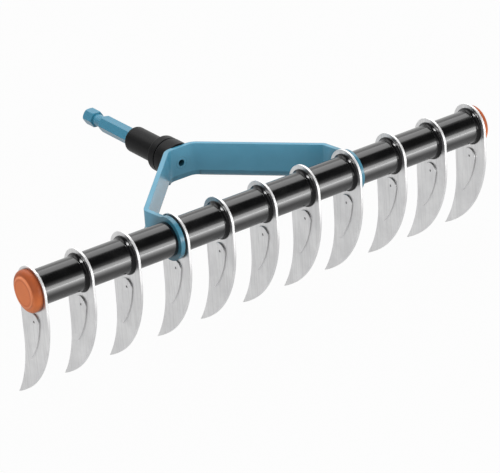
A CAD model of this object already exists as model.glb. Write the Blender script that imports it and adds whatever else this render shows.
# %% [markdown]
# # A thatch rake head
# The real object is the head of a rake that combs dead grass out of a lawn. Eleven bright steel blades sit
# on one hidden square axle, black sleeves keep them apart, and a folded teal yoke carries the row on a
# hexagonal tang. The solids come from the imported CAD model. They stay as they are, and no piece is added to
# them. This lesson gives them their finishes, lays a floor under them, and sets up the camera and the light.

# %% Load the solids and keep their box
from math import pi, radians

import bpy
import numpy as np
from mathutils import Matrix, Quaternion, Vector


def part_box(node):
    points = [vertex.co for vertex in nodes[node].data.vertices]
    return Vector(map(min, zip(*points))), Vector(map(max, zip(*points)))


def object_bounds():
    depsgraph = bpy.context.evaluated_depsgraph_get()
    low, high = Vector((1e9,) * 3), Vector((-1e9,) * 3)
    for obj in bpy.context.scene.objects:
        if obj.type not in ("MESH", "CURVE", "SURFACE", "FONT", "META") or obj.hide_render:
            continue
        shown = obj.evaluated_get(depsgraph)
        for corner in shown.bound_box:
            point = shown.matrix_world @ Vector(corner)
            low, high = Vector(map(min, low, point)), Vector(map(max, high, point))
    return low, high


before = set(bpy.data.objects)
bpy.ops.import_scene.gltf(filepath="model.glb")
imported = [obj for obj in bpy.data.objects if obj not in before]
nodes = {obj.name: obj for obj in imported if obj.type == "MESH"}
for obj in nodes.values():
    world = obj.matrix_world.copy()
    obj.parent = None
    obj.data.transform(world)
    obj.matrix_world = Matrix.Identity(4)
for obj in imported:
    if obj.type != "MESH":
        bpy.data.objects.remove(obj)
cad_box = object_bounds()
print(len(nodes), "solids, box in metres", [tuple(round(v, 4) for v in corner) for corner in cad_box])

# %% [markdown]
# ## The camera
# The photograph was taken from the front left and from above, with a long lens, so the row of blades hardly
# narrows towards the far end. A camera's place can be guessed by eye or worked out from points that are
# known on the object and in the picture. Here it was worked out, from the ends of the row and the blade
# tips. It is written down as for a tripod: where the camera stands, how far it is turned to the right of the
# handle's direction, how far it looks down, and how far it is rolled.

# %% Set the camera
camera_place = (-0.88430, -1.35571, 0.71921)
turned_right = radians(34.989)
looking_down = radians(25.843)
rolled = radians(-3.930)
camera_data = bpy.data.cameras.new("photo_camera")
camera_data.sensor_fit = "HORIZONTAL"
camera_data.sensor_width = 36
camera_data.lens = 196.34
camera_data.clip_start = 0.05
camera = bpy.data.objects.new("photo_camera", camera_data)
bpy.context.scene.collection.objects.link(camera)
heading = Matrix.Rotation(-turned_right, 4, "Z")
tilt = Matrix.Rotation(pi / 2 - looking_down, 4, "X")
roll = Matrix.Rotation(rolled, 4, "Z")
camera.matrix_world = Matrix.Translation(camera_place) @ heading @ tilt @ roll
bpy.context.scene.camera = camera
bpy.context.scene.view_settings.view_transform = "Standard"
print("camera", round(camera.location.length, 3), "m from the handle seat, lens", camera_data.lens, "mm")

# %% [markdown]
# ## Small helpers for node trees
# A finish is a tree of nodes. Written out in full, each node takes a line to make, a line for each number
# and a line for each wire. The helper put does all three: a value that is an output of another node is
# wired, and any other value is set. Three more start a material, start a group of nodes that several
# finishes share, and place such a group in a finish.

# %% Helpers that place nodes, start a material, and start and use a group
def put(tree, kind, inputs=None, **settings):
    """Add one node, set its properties, then wire or set each input by its name or number."""
    made = tree.nodes.new(kind)
    for name, value in settings.items():
        setattr(made, name, value)
    for key, value in (inputs or {}).items():
        socket = made.inputs[key]
        if isinstance(value, bpy.types.NodeSocket):
            tree.links.new(value, socket)
        else:
            socket.default_value = value
    return made


def start_material(name, **sockets):
    """A material with one Principled shader, whose constant sockets are set here, spaces as underscores."""
    made = bpy.data.materials.new(name)
    made.use_nodes = True
    shader = made.node_tree.nodes["Principled BSDF"]
    for key, value in sockets.items():
        shader.inputs[key.replace("_", " ")].default_value = value
    return made, made.node_tree, shader


def start_group(name, numbers, outputs):
    """A shader group with number inputs {name: default} and outputs {name: socket type}."""
    tree = bpy.data.node_groups.new(name, "ShaderNodeTree")
    for key, value in numbers.items():
        tree.interface.new_socket(key, in_out="INPUT", socket_type="NodeSocketFloat").default_value = value
    for key, kind in outputs.items():
        tree.interface.new_socket(key, in_out="OUTPUT", socket_type=kind)
    return tree, tree.nodes.new("NodeGroupInput"), tree.nodes.new("NodeGroupOutput")


def use(tree, group, **numbers):
    """Place a shared group in a finish, with its own values, spaces as underscores."""
    inputs = {key.replace("_", " "): value for key, value in numbers.items()}
    return put(tree, "ShaderNodeGroup", inputs, node_tree=group)


print("helpers for nodes, materials and groups ready")

# %% [markdown]
# ## Small helpers for sums
# Most of a finish is a few kinds of sum: move a value from one range to another, blend two colours or two
# numbers, multiply two masks. Each gets a short name, so that a finish reads as a recipe. The last two end
# every finish: they wire what was worked out to the shader, and add a low relief over the rounded edges.

# %% Helpers that calculate, blend and wire
def calculate(tree, operation, *values):
    """One Math node on one, two or three values."""
    return put(tree, "ShaderNodeMath", dict(enumerate(values)), operation=operation).outputs[0]


def to_range(tree, value, low, high, new_low, new_high):
    """Value, moved from low..high to new_low..new_high and held there."""
    return put(tree, "ShaderNodeMapRange", {0: value, 1: low, 2: high, 3: new_low, 4: new_high}).outputs[0]


def from_noise(tree, noise, low, high):
    """A noise, which stays mostly between 0.3 and 0.7, spread over low..high."""
    return to_range(tree, noise, 0.3, 0.7, low, high)


def blend_colours(tree, share, first, second):
    """The colour that goes from first to second as share goes from 0 to 1."""
    return put(tree, "ShaderNodeMix", {0: share, 6: first, 7: second}, data_type="RGBA").outputs[2]


def blend_numbers(tree, share, first, second):
    """The number that goes from first to second as share goes from 0 to 1."""
    return put(tree, "ShaderNodeMix", {0: share, 2: first, 3: second}, data_type="FLOAT").outputs[0]


def wire(tree, shader, **values):
    """Wire values to the shader's sockets, spaces as underscores."""
    for key, value in values.items():
        tree.links.new(value, shader.inputs[key.replace("_", " ")])


def add_relief(tree, shader, height, strength, edge):
    """A bump a tenth of a millimetre deep over the soft edge's normal, wired to the shader."""
    bump = put(tree, "ShaderNodeBump", {"Strength": strength, "Distance": 0.0001, "Height": height,
                                        "Normal": edge.outputs["Normal"]})
    wire(tree, shader, Normal=bump.outputs[0])


print("helpers for sums ready")

# %% [markdown]
# ## Grain that several finishes share
# Powder paint has a faint orange peel, moulded plastic a faint spark texture, and even lacquer is never
# quite flat. All of them are the same thing at other sizes: a soft noise. A noise texture on Object
# coordinates keeps its size in metres whatever the piece. The group gives two layers: a fine one for relief
# and a broad one for slow changes of tone.

# %% Group: grain
grain, grain_in, grain_out = start_group(
    "grain", {"Fine Scale": 900.0, "Broad Scale": 30.0},
    {"Relief": "NodeSocketFloat", "Tone": "NodeSocketFloat"})
spot = put(grain, "ShaderNodeTexCoord").outputs["Object"]
fine = put(grain, "ShaderNodeTexNoise", {"Vector": spot, "Scale": grain_in.outputs["Fine Scale"],
                                         "Detail": 3.0, "Roughness": 0.55})
broad = put(grain, "ShaderNodeTexNoise", {"Vector": spot, "Scale": grain_in.outputs["Broad Scale"],
                                          "Detail": 4.0, "Roughness": 0.6})
grain.links.new(fine.outputs[0], grain_out.inputs["Relief"])
grain.links.new(broad.outputs[0], grain_out.inputs["Tone"])
print("group", grain.name, "with", [s.name for s in grain.interface.items_tree])

# %% [markdown]
# ## Edges
# No edge on the real rake is a knife edge. Sheared steel has a small break, paint pulls thin there, and
# plastic has a moulded radius, and each catches a thin line of light. The solids could all be given
# bevelled meshes, but the Bevel node gives the same line of light: it looks round each point within a
# radius and returns the normal of a rounded edge. Where that normal leaves the flat one, there is an edge,
# which also gives a patchy mask for rubbed paint and bright metal.

# %% Group: soft edge
soft_edge, edge_in, edge_out = start_group(
    "soft_edge", {"Radius": 0.0004, "Breakup Scale": 220.0},
    {"Mask": "NodeSocketFloat", "Normal": "NodeSocketVector"})
rounded = put(soft_edge, "ShaderNodeBevel", {"Radius": edge_in.outputs["Radius"]}, samples=8).outputs[0]
flat = put(soft_edge, "ShaderNodeNewGeometry").outputs["Normal"]
agreement = put(soft_edge, "ShaderNodeVectorMath", {0: rounded, 1: flat}, operation="DOT_PRODUCT")
bare = to_range(soft_edge, agreement.outputs["Value"], 0.995, 0.8, 0.0, 1.0)
speck = put(soft_edge, "ShaderNodeTexNoise", {
    "Vector": put(soft_edge, "ShaderNodeTexCoord").outputs["Object"],
    "Scale": edge_in.outputs["Breakup Scale"], "Detail": 4.0, "Roughness": 0.65})
patchy = to_range(soft_edge, speck.outputs[0], 0.35, 0.65, 0.25, 1.0)
soft_edge.links.new(calculate(soft_edge, "MULTIPLY", bare, patchy), edge_out.inputs["Mask"])
soft_edge.links.new(rounded, edge_out.inputs["Normal"])
print("group", soft_edge.name, "with", [s.name for s in soft_edge.interface.items_tree])

# %% [markdown]
# ## Creases
# Where two faces meet in a corner, dust and oil stay and less light gets in, so the foot of each pressed bead
# and the inside of each fold reads as a fine dark line. The corner could be found from the mesh, but the
# Ambient Occlusion node does it at any distance: it asks how much of the space round a point is open.

# %% Group: crease
crease, crease_in, crease_out = start_group("crease", {"Distance": 0.001}, {"Mask": "NodeSocketFloat"})
open_share = put(crease, "ShaderNodeAmbientOcclusion", {"Distance": crease_in.outputs["Distance"]}, samples=8)
closed = to_range(crease, open_share.outputs["AO"], 0.85, 0.45, 0.0, 1.0)
crease.links.new(closed, crease_out.inputs["Mask"])
print("group", crease.name, "with", [s.name for s in crease.interface.items_tree])

# %% [markdown]
# ## Rolled streaks
# Rolling leaves long faint streaks in steel strip. They could be drawn as single scratches, but a noise that
# is stretched along the blade does the same with one node: the coordinates are squeezed along Z, so one blob
# of noise becomes a line.

# %% Group: rolled streaks
streaks, streak_in, streak_out = start_group(
    "rolled_streaks", {"Across": 1400.0, "Along": 40.0}, {"Lines": "NodeSocketFloat"})
stretch = put(streaks, "ShaderNodeCombineXYZ", {
    0: streak_in.outputs["Across"], 1: streak_in.outputs["Across"], 2: streak_in.outputs["Along"]})
squeezed = put(streaks, "ShaderNodeVectorMath", {
    0: put(streaks, "ShaderNodeTexCoord").outputs["Object"], 1: stretch.outputs[0]}, operation="MULTIPLY")
lines = put(streaks, "ShaderNodeTexNoise", {"Vector": squeezed.outputs[0], "Scale": 1.0, "Detail": 3.0})
streaks.links.new(lines.outputs[0], streak_out.inputs["Lines"])
print("group", streaks.name, "with", [s.name for s in streaks.interface.items_tree])

# %% [markdown]
# ## Places on the rake
# Soil, grease and bright cuts aren't spread evenly over a real rake. They follow the height above the lawn,
# the way along the handle and the distance from the axle. They could be painted by hand on a UV map, but all
# solids share one frame, so these three numbers come straight from the Object coordinates.

# %% Group: place on the rake
axle_low, axle_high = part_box("axle")
axle_y = (axle_low.y + axle_high.y) / 2
place_on_rake, _, rake_out = start_group("place_on_rake", {}, {
    "From Axle": "NodeSocketFloat", "Along Handle": "NodeSocketFloat", "Height": "NodeSocketFloat"})
spot = put(place_on_rake, "ShaderNodeTexCoord").outputs["Object"]
from_axle = put(place_on_rake, "ShaderNodeVectorMath", {0: spot, 1: (0.0, axle_y, 0.0)}, operation="SUBTRACT")
across = put(place_on_rake, "ShaderNodeVectorMath", {0: from_axle.outputs[0], 1: (0.0, 1.0, 1.0)},
             operation="MULTIPLY")
distance = put(place_on_rake, "ShaderNodeVectorMath", {0: across.outputs[0]}, operation="LENGTH")
single = put(place_on_rake, "ShaderNodeSeparateXYZ", {0: spot}).outputs
place_on_rake.links.new(distance.outputs["Value"], rake_out.inputs["From Axle"])
place_on_rake.links.new(single["Y"], rake_out.inputs["Along Handle"])
place_on_rake.links.new(single["Z"], rake_out.inputs["Height"])
print("group", place_on_rake.name, "measured from the axle at y", round(axle_y, 4), "m")

# %% [markdown]
# ## Blade steel, the sheet
# The blades are stamped from bright cold rolled strip, and the zinc on it gives the light grey, satin look.
# One plain grey would look like plastic, so a slow cloud of tone and the rolled streaks vary it. The streaks
# change the roughness and darken the colour a little, because that is what fine scratches do.

# %% Finish: blade steel, the sheet
zinc_shade = (0.78, 0.78, 0.785, 1)
zinc_light = (0.89, 0.89, 0.892, 1)
streak_grey = (0.62, 0.62, 0.625, 1)
blade_steel, tree, shader = start_material("blade_steel")
streak = use(tree, streaks, Across=800.0, Along=30.0).outputs["Lines"]
cloud = use(tree, grain, Broad_Scale=55.0).outputs["Tone"]
edge = use(tree, soft_edge, Radius=0.0005)
tone = blend_colours(tree, to_range(tree, cloud, 0.35, 0.65, 0.0, 1.0), zinc_shade, zinc_light)
tone = blend_colours(tree, to_range(tree, streak, 0.45, 0.70, 0.0, 0.35), tone, streak_grey)
polish = from_noise(tree, streak, 0.28, 0.38)
add_relief(tree, shader, streak, 0.05, edge)
print("finish", blade_steel.name, "has its sheet")

# %% [markdown]
# ## Blade steel, the cut rims and the foot of the bead
# The fresh cut on the rim of each round head is brighter than the sheet. The rim could get a material of its
# own, but the meshes aren't touched, so it is found by its direction: there a face looks along the sheet and
# not sideways. The pressed bead stands on a fine dark line, which fades towards the bead's tail, as the bead
# runs out into the sheet there.

# %% Finish: blade steel, the cut rims and the foot of the bead
cut_bright = (0.93, 0.93, 0.93, 1)
cut_roughness = 0.55
foot_dark = (0.30, 0.30, 0.30, 1)
head_low = -0.024
head_full = -0.010
tail_height = -0.044
bead_full = -0.022
height = use(tree, place_on_rake).outputs["Height"]
facing = put(tree, "ShaderNodeNewGeometry").outputs["True Normal"]
sideways = calculate(tree, "ABSOLUTE", put(tree, "ShaderNodeSeparateXYZ", {0: facing}).outputs["X"])
along_sheet = to_range(tree, sideways, 0.7, 0.3, 0.0, 1.0)
rim = calculate(tree, "MULTIPLY", along_sheet, to_range(tree, height, head_low, head_full, 0.0, 1.0))
cut = calculate(tree, "MAXIMUM", rim, edge.outputs["Mask"])
tone = blend_colours(tree, cut, tone, cut_bright)
corner = use(tree, crease, Distance=0.0011).outputs["Mask"]
foot = calculate(tree, "MULTIPLY", corner, to_range(tree, height, tail_height, bead_full, 0.1, 1.0))
tone = blend_colours(tree, foot, tone, foot_dark)
wire(tree, shader, Base_Color=tone, Roughness=blend_numbers(tree, cut, polish, cut_roughness),
     Metallic=to_range(tree, rim, 0.0, 1.0, 1.0, 0.8))
print("finish", blade_steel.name, "has bright rims from", head_low, "m up")

# %% [markdown]
# ## Axle steel
# The square axle and its washers are plain zinc plated bar, duller than the blades. They are almost hidden,
# so the same groups with coarser values are enough.

# %% Finish: axle steel
bar_shade = (0.36, 0.36, 0.37, 1)
bar_light = (0.52, 0.52, 0.53, 1)
axle_steel, tree, shader = start_material("axle_steel", Metallic=1.0)
streak = use(tree, streaks, Across=900.0, Along=900.0).outputs["Lines"]
cloud = use(tree, grain, Fine_Scale=1800.0, Broad_Scale=120.0).outputs
edge = use(tree, soft_edge, Radius=0.0003)
tone = blend_colours(tree, cloud["Tone"], bar_shade, bar_light)
wire(tree, shader, Base_Color=tone, Roughness=from_noise(tree, streak, 0.42, 0.6))
add_relief(tree, shader, cloud["Relief"], 0.1, edge)
print("finish", axle_steel.name)

# %% [markdown]
# ## Black lacquer
# The sleeves between the blades are tubes with a deep gloss black lacquer, so they are drawn almost only by
# what they mirror: a pale stripe of the low front light and a grey one of the light above. A black base with
# a clear coat gives that. The coat's own numbers are constants, so they sit on the shader, and only a very
# low relief and a trace of dust change over the surface.

# %% Finish: sleeve black
lacquer = (0.002, 0.002, 0.0022, 1)
lacquer_dusty = (0.005, 0.005, 0.0052, 1)
lacquer_worn = (0.03, 0.03, 0.031, 1)
sleeve_black, tree, shader = start_material(
    "sleeve_black", Specular_IOR_Level=0.5, Coat_Weight=0.45, Coat_Roughness=0.06, Coat_IOR=1.5)
cloud = use(tree, grain, Fine_Scale=700.0, Broad_Scale=90.0).outputs
edge = use(tree, soft_edge, Radius=0.0004)
tone = blend_colours(tree, to_range(tree, cloud["Tone"], 0.45, 0.75, 0.0, 1.0), lacquer, lacquer_dusty)
tone = blend_colours(tree, edge.outputs["Mask"], tone, lacquer_worn)
wire(tree, shader, Base_Color=tone, Roughness=from_noise(tree, cloud["Tone"], 0.13, 0.20))
add_relief(tree, shader, cloud["Relief"], 0.03, edge)
print("finish", sleeve_black.name)

# %% [markdown]
# ## Collar black
# The flared collars are moulded in black plastic and have no lacquer on them. Their cones face the pale floor
# and the pale room, and full gloss would mirror both and turn them grey. A lower specular level, with no
# clear coat, keeps them as dark as they are beside the sleeves, and a low roughness keeps the spot of light
# on each flare small.

# %% Finish: collar black
collar_shade = (0.003, 0.003, 0.0035, 1)
collar_light = (0.006, 0.006, 0.0065, 1)
collar_worn = (0.012, 0.012, 0.0125, 1)
collar_black, tree, shader = start_material("collar_black", Specular_IOR_Level=0.22)
cloud = use(tree, grain, Fine_Scale=1600.0, Broad_Scale=90.0).outputs
edge = use(tree, soft_edge, Radius=0.0004)
tone = blend_colours(tree, cloud["Tone"], collar_shade, collar_light)
tone = blend_colours(tree, edge.outputs["Mask"], tone, collar_worn)
wire(tree, shader, Base_Color=tone, Roughness=from_noise(tree, cloud["Relief"], 0.10, 0.16))
add_relief(tree, shader, cloud["Relief"], 0.05, edge)
print("finish", collar_black.name)

# %% [markdown]
# ## Seat black
# The handle seat and its collar are moulded plastic. It is black too, but satin: the mould's spark texture
# breaks the mirror image up into a soft grey sheen, and the rims are rubbed paler by use. The texture could
# be modelled, but it is finer than a pixel, so a bump and a higher roughness do it.

# %% Finish: seat black
seat_shade = (0.003, 0.003, 0.0035, 1)
seat_light = (0.007, 0.007, 0.0075, 1)
seat_worn = (0.05, 0.05, 0.051, 1)
seat_black, tree, shader = start_material("seat_black", Specular_IOR_Level=0.13)
cloud = use(tree, grain, Fine_Scale=2200.0, Broad_Scale=70.0).outputs
edge = use(tree, soft_edge, Radius=0.0005)
tone = blend_colours(tree, cloud["Tone"], seat_shade, seat_light)
tone = blend_colours(tree, edge.outputs["Mask"], tone, seat_worn)
wire(tree, shader, Base_Color=tone, Roughness=from_noise(tree, cloud["Relief"], 0.30, 0.42))
add_relief(tree, shader, cloud["Relief"], 0.18, edge)
print("finish", seat_black.name)

# %% [markdown]
# ## Cap orange, the plastic
# The end caps are moulded in orange plastic with a soft gloss. The colour goes right through, so nothing can
# chip off it: only a slow cloud of tone changes it, and the rounded edges are rubbed paler.

# %% Finish: cap orange, the plastic
orange_shade = (0.715, 0.183, 0.056, 1)
orange_light = (0.825, 0.236, 0.076, 1)
orange_edge = (0.82, 0.36, 0.20, 1)
cap_orange, tree, shader = start_material("cap_orange", Specular_IOR_Level=0.25)
cloud = use(tree, grain, Fine_Scale=1800.0, Broad_Scale=90.0).outputs
edge = use(tree, soft_edge, Radius=0.0008)
tone = blend_colours(tree, cloud["Tone"], orange_shade, orange_light)
tone = blend_colours(tree, edge.outputs["Mask"], tone, orange_edge)
wire(tree, shader, Roughness=from_noise(tree, cloud["Relief"], 0.34, 0.46))
add_relief(tree, shader, cloud["Relief"], 0.1, edge)
print("finish", cap_orange.name, "has its plastic")

# %% [markdown]
# ## Cap orange, the rings on the disc
# The raised disc on each cap ends in a pale lip, with a darker ring inside it where dirt stays. They could be
# painted on a UV map, but both are round, like the cap, so a soft band between two distances from the axle
# does it.

# %% Finish: cap orange, the rings on the disc
def ring(tree, distance, start, end, fade, strength):
    """Strength where the distance lies between start and end, 0 beyond: a rising ramp times a falling one."""
    rising = to_range(tree, distance, start - fade, start + fade, 0.0, strength)
    falling = to_range(tree, distance, end - fade, end + fade, 1.0, 0.0)
    return calculate(tree, "MULTIPLY", rising, falling)


disc_radius = 0.0098
groove_dark = (0.58, 0.120, 0.034, 1)
lip_pale = (0.90, 0.34, 0.17, 1)
on_cap = use(tree, place_on_rake).outputs
groove = ring(tree, on_cap["From Axle"], start=disc_radius - 0.0022, end=disc_radius - 0.0012,
              fade=0.0004, strength=0.6)
lip = ring(tree, on_cap["From Axle"], start=disc_radius - 0.0009, end=disc_radius + 0.0001,
           fade=0.0003, strength=0.6)
tone = blend_colours(tree, groove, tone, groove_dark)
tone = blend_colours(tree, lip, tone, lip_pale)
print("finish", cap_orange.name, "has a pale lip at", disc_radius, "m from the axle")

# %% [markdown]
# ## Cap orange, the soil
# Soil darkens the upper shoulder of each cap and the corner beside the blade. The shoulder is all that lies
# further out than the disc, and its soil follows the height. The corner comes from the crease group, which
# would find the foot of the disc too, so it is kept to the shoulder.

# %% Finish: cap orange, the soil
shoulder_soil = (0.345, 0.070, 0.017, 1)
corner_soil = (0.33, 0.062, 0.016, 1)
soil_starts = -0.0035
soil_full = 0.0050
shoulder = to_range(tree, on_cap["From Axle"], disc_radius + 0.0002, disc_radius + 0.0012, 0.0, 1.0)
upper = to_range(tree, on_cap["Height"], soil_starts, soil_full, 0.0, 0.85)
tone = blend_colours(tree, calculate(tree, "MULTIPLY", shoulder, upper), tone, shoulder_soil)
corner = use(tree, crease, Distance=0.008).outputs["Mask"]
tone = blend_colours(tree, calculate(tree, "MULTIPLY", corner, shoulder), tone, corner_soil)
wire(tree, shader, Base_Color=tone)
print("finish", cap_orange.name, "has its soil")

# %% [markdown]
# ## Teal paint, the coat
# The yoke and the tang are powder coated. The coat melts and flows in the oven, which leaves an orange peel
# about a millimetre across, and it pulls thin over sharp edges, so these come out a little duller. The slow
# tone layer keeps large faces from looking like one flat colour, and a thin clear coat gives the gloss.

# %% Finish: teal paint, the coat
teal_shade = (0.074, 0.280, 0.405, 1)
teal_light = (0.089, 0.320, 0.465, 1)
teal_edge = (0.092, 0.287, 0.397, 1)
teal_paint, tree, shader = start_material(
    "teal_paint", Specular_IOR_Level=0.4, Coat_Weight=0.25, Coat_Roughness=0.06)
cloud = use(tree, grain, Fine_Scale=1100.0, Broad_Scale=40.0).outputs
edge = use(tree, soft_edge, Radius=0.0006)
tone = blend_colours(tree, from_noise(tree, cloud["Tone"], 0.0, 1.0), teal_shade, teal_light)
tone = blend_colours(tree, edge.outputs["Mask"], tone, teal_edge)
wire(tree, shader, Roughness=from_noise(tree, cloud["Relief"], 0.19, 0.27))
add_relief(tree, shader, cloud["Relief"], 0.10, edge)
print("finish", teal_paint.name, "has its coat")

# %% [markdown]
# ## Teal paint, the soil and the grease
# In use, soil stays in the folds of the yoke, along the lower edge of its arms and round its eyes, and grease
# from the handle's socket darkens the tang. The folds come from the crease group and the rest from the place
# on the rake. A little noise on the height makes the lower band ragged, and the tang's change of tone lies
# inside the seat, where it doesn't show.

# %% Finish: teal paint, the soil and the grease
fold_soil = (0.022, 0.103, 0.150, 1)
tang_grease = (0.036, 0.215, 0.330, 1)
lawn_soil = (0.026, 0.108, 0.150, 1)
band_top = -0.0067
band_full = -0.0074
band_ragged = 0.002
eye_soil_reach = 0.006
seat_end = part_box("handle_seat")[1].y
eye_radius = -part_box("yoke")[0].z
on_yoke = use(tree, place_on_rake).outputs
tone = blend_colours(tree, use(tree, crease, Distance=0.009).outputs["Mask"], tone, fold_soil)
greased = to_range(tree, on_yoke["Along Handle"], seat_end - 0.004, seat_end - 0.001, 0.0, 0.9)
tone = blend_colours(tree, greased, tone, tang_grease)
ragged = calculate(tree, "MULTIPLY_ADD", cloud["Tone"], band_ragged, on_yoke["Height"])
low_band = to_range(tree, ragged, band_top, band_full, 0.0, 0.5)
round_eye = to_range(tree, on_yoke["From Axle"], eye_radius + eye_soil_reach, eye_radius - 0.0005, 0.0, 0.65)
tone = blend_colours(tree, calculate(tree, "MAXIMUM", low_band, round_eye), tone, lawn_soil)
wire(tree, shader, Base_Color=tone)
print("finish", teal_paint.name, "has soil round eyes of radius", round(eye_radius, 4), "m")

# %% [markdown]
# ## Dress the solids
# Each solid came in with a plain material that has the name of its slot. That name says which finish it
# takes, so one pass over the solids is enough. The collars share the sleeves' slot, and take their own black.

# %% Give every solid its finish
finishes = {"blade_steel": blade_steel, "axle_steel": axle_steel, "sleeve_black": sleeve_black,
            "collar_black": collar_black, "seat_black": seat_black, "cap_orange": cap_orange,
            "teal_paint": teal_paint}
dressed = dict.fromkeys(finishes, 0)
for node, solid in nodes.items():
    name = "collar_black" if node.startswith("collar_") else solid.material_slots[0].material.name
    solid.material_slots[0].material = finishes[name]
    dressed[name] += 1
print("solids in each finish", dressed)

# %% [markdown]
# ## The floor
# The rake stands on its blade tips on a plain floor. A single square would do, but a grid shows how a surface
# is worked out as whole arrays: two lines of numbers make all the points, and four shifted views of their
# indices make all the faces.

# %% Lay the floor
def flat_grid(name, half, steps, height):
    """A square grid: x and y run from -half to half in equal steps, and z is the same height all over."""
    line = np.linspace(-half, half, steps + 1)
    x, y = np.meshgrid(line, line)
    points = np.stack([x, y, np.full_like(x, height)], axis=-1).reshape(-1, 3)
    at = np.arange((steps + 1) ** 2).reshape(steps + 1, steps + 1)
    quads = np.stack([at[:-1, :-1], at[:-1, 1:], at[1:, 1:], at[1:, :-1]], axis=-1).reshape(-1, 4)
    mesh = bpy.data.meshes.new(name)
    mesh.from_pydata(points.tolist(), [], quads.tolist())
    made = bpy.data.objects.new(name, mesh)
    bpy.context.scene.collection.objects.link(made)
    return made


clear_of_tips = 0.0002
floor = flat_grid("floor", half=6.0, steps=12, height=cad_box[0].z - clear_of_tips)
print("floor at", round(cad_box[0].z - clear_of_tips, 4), "m with", len(floor.data.polygons), "faces")

# %% [markdown]
# ## The floor's white
# A floor that is lit to pure white would need more light than the object can take. So to the camera and in
# mirrors most of its white is its own, through the Light Path node, and the rest is lit and keeps a faint
# shadow.

# %% Make the floor white
own_white_seen = 0.97
own_white_mirrored = 0.58
floor_white, tree, shader = start_material(
    "floor_white", Base_Color=(0.25, 0.25, 0.25, 1), Roughness=0.9, Specular_IOR_Level=0.1)
ray = put(tree, "ShaderNodeLightPath").outputs
seen = calculate(tree, "MULTIPLY", ray["Is Camera Ray"], own_white_seen)
shine = calculate(tree, "MAXIMUM", ray["Is Glossy Ray"], ray["Is Transmission Ray"])
mirrored = calculate(tree, "MULTIPLY", shine, own_white_mirrored)
share = calculate(tree, "MAXIMUM", seen, mirrored)
glow = put(tree, "ShaderNodeEmission", {"Color": (1, 1, 1, 1), "Strength": 1.0})
both = put(tree, "ShaderNodeMixShader", {0: share, 1: shader.outputs[0], 2: glow.outputs[0]})
tree.links.new(both.outputs[0], tree.nodes["Material Output"].inputs["Surface"])
floor.data.materials.append(floor_white)
print("floor shows", own_white_seen, "of its own white, and", own_white_mirrored, "in mirrors")

# %% [markdown]
# ## Studio light
# Gloss black shows every lamp, so the lamps are placed for the stripes they leave on the sleeves: one wide
# soft box above and behind for the grey stripe along the top, and one low long box in front for the pale
# stripe below the middle. Between them the room is dark. A weak box on the left opens up the end cap. The
# front box is two lamps in one place, so that the bright steel and the caps can do with the weaker one.

# %% Hang the soft boxes
def soft_box(name, at, target, size, radiance, roll=0.0):
    """A rectangular lamp that faces a target, rolled about that line.

    Its power is its radiance times pi times its area.
    """
    data = bpy.data.lights.new(name, "AREA")
    data.shape = "RECTANGLE"
    data.size, data.size_y = size
    data.energy = radiance * pi * size[0] * size[1]
    made = bpy.data.objects.new(name, data)
    made.location = at
    aimed = (Vector(target) - Vector(at)).to_track_quat("-Z", "Y")
    made.rotation_euler = (aimed @ Quaternion((0.0, 0.0, 1.0), roll)).to_euler()
    made.visible_camera = False
    bpy.context.scene.collection.objects.link(made)
    print(name, "at", at, "radiance", radiance)
    return made


row_middle = (0.0, -0.09, 0.0)
front = {"at": (0.36, -0.72, 0.035), "target": (0.36, -0.1, 0.0), "size": (0.8, 0.21)}
soft_box("box_above", at=(0.25, 0.42, 0.95), target=row_middle, size=(1.6, 0.76), radiance=1.5)
soft_box("box_front", radiance=3.0, **front)
gloss_front = soft_box("gloss_front", radiance=5.0, **front)
soft_box("box_left", at=(-1.2, -0.5, 0.45), target=row_middle, size=(0.8, 0.8), radiance=0.75)

# %% [markdown]
# ## Cards that only mirrors see
# A photographer stands white cards round gloss black to shape its reflections. Three lamps are such cards:
# they are hidden from matt surfaces and fade towards one edge. One stands behind the front box and rises
# above it, and one lies on the floor before the rake, a hair off level, which settles where its top edge is.
# They give the pale stripe its soft upper and lower ends. A long one on the left, rolled to lie across the
# flares, leaves a small spot of light on each collar.

# %% Set the cards
def only_in_mirrors(lamp, fall):
    """Hide a lamp from matt surfaces, and let it fade.

    Its strength is the share of its height that is left to its top edge, to the power of fall.
    """
    lamp.visible_diffuse = False
    lamp.data.use_nodes = True
    tree = lamp.data.node_tree
    spot = put(tree, "ShaderNodeNewGeometry").outputs["Parametric"]
    height = put(tree, "ShaderNodeSeparateXYZ", {0: spot}).outputs["Y"]
    strength = calculate(tree, "POWER", calculate(tree, "SUBTRACT", 1.0, height), fall)
    tree.links.new(strength, tree.nodes["Emission"].inputs["Strength"])


glow_front = soft_box("glow_front", at=(0.36, -0.73, 0.24), target=(0.36, -0.1, 0.24),
                      size=(0.9, 0.63), radiance=2.6)
glow_floor = soft_box("glow_floor", at=(0.26, -0.445, -0.077), target=(0.26, -0.44501, 1.0),
                      size=(1.0, 0.53), radiance=13.5)
glow_left = soft_box("glow_left", at=(-0.97, 0.03, 0.85), target=(0.0, axle_y, 0.0),
                     size=(1.2, 0.3), radiance=50.0, roll=1.24)
only_in_mirrors(glow_front, fall=2.0)
only_in_mirrors(glow_floor, fall=1.0)
only_in_mirrors(glow_left, fall=0.5)

# %% [markdown]
# ## What a lamp reaches
# In a studio, small flags keep a lamp off the pieces it isn't meant for. Building flags would put more things
# in the mirrors, so light linking does it: a lamp with a collection of receivers lights these alone.

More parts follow.
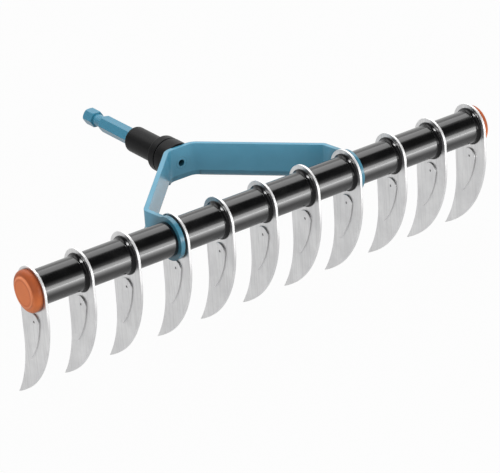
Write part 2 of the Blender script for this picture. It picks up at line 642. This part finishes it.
# %% Flag the lamps
def reach_only(lamp, chosen):
    """Let a lamp reach only the chosen objects."""
    reached = bpy.data.collections.new(lamp.name + "_reaches")
    for solid in chosen:
        reached.objects.link(solid)
    lamp.light_linking.receiver_collection = reached


easily_burnt = ("blade_", "end_cap_")
sturdy = [solid for node, solid in nodes.items() if not node.startswith(easily_burnt)]
reach_only(glow_left, [solid for node, solid in nodes.items() if node.startswith("collar_")])
reach_only(glow_floor, [solid for node, solid in nodes.items() if node.startswith("sleeve_")])
reach_only(gloss_front, [floor] + sturdy)

# %% [markdown]
# ## The room
# The world lights the scene evenly from all round, and to the camera it is white. In mirrors it is white only
# below the horizon and behind the rake, as seen from the camera. The rest of the room is dark there, because
# gloss black is black only where it mirrors something dark. The ray's direction is the world's Generated
# coordinate, so the dark part is a product of two ramps.

# %% Light the room
room_light = 0.95
dark_part = 0.04
towards_camera = (-0.6, -0.8, 0.0)
world = bpy.data.worlds.new("studio")
bpy.context.scene.world = world
world.use_nodes = True
tree = world.node_tree
tree.nodes.clear()
way = put(tree, "ShaderNodeTexCoord").outputs["Generated"]
nearness = put(tree, "ShaderNodeVectorMath", {0: way, 1: towards_camera}, operation="DOT_PRODUCT")
not_behind = to_range(tree, nearness.outputs["Value"], -0.42, -0.19, 0.0, 1.0)
above = to_range(tree, put(tree, "ShaderNodeSeparateXYZ", {0: way}).outputs["Z"], 0.0, 0.15, 0.0, 1.0)
mirrored = to_range(tree, calculate(tree, "MULTIPLY", not_behind, above), 0.0, 1.0, 1.0, dark_part)
ray = put(tree, "ShaderNodeLightPath").outputs
shine = calculate(tree, "MAXIMUM", ray["Is Glossy Ray"], ray["Is Transmission Ray"])
level = blend_numbers(tree, shine, room_light, mirrored)
level = blend_numbers(tree, ray["Is Camera Ray"], level, 1.0)
sky = put(tree, "ShaderNodeBackground", {"Color": (1, 1, 1, 1), "Strength": level})
put(tree, "ShaderNodeOutputWorld", {"Surface": sky.outputs[0]})
print("room lit at", room_light, "and white to the camera")
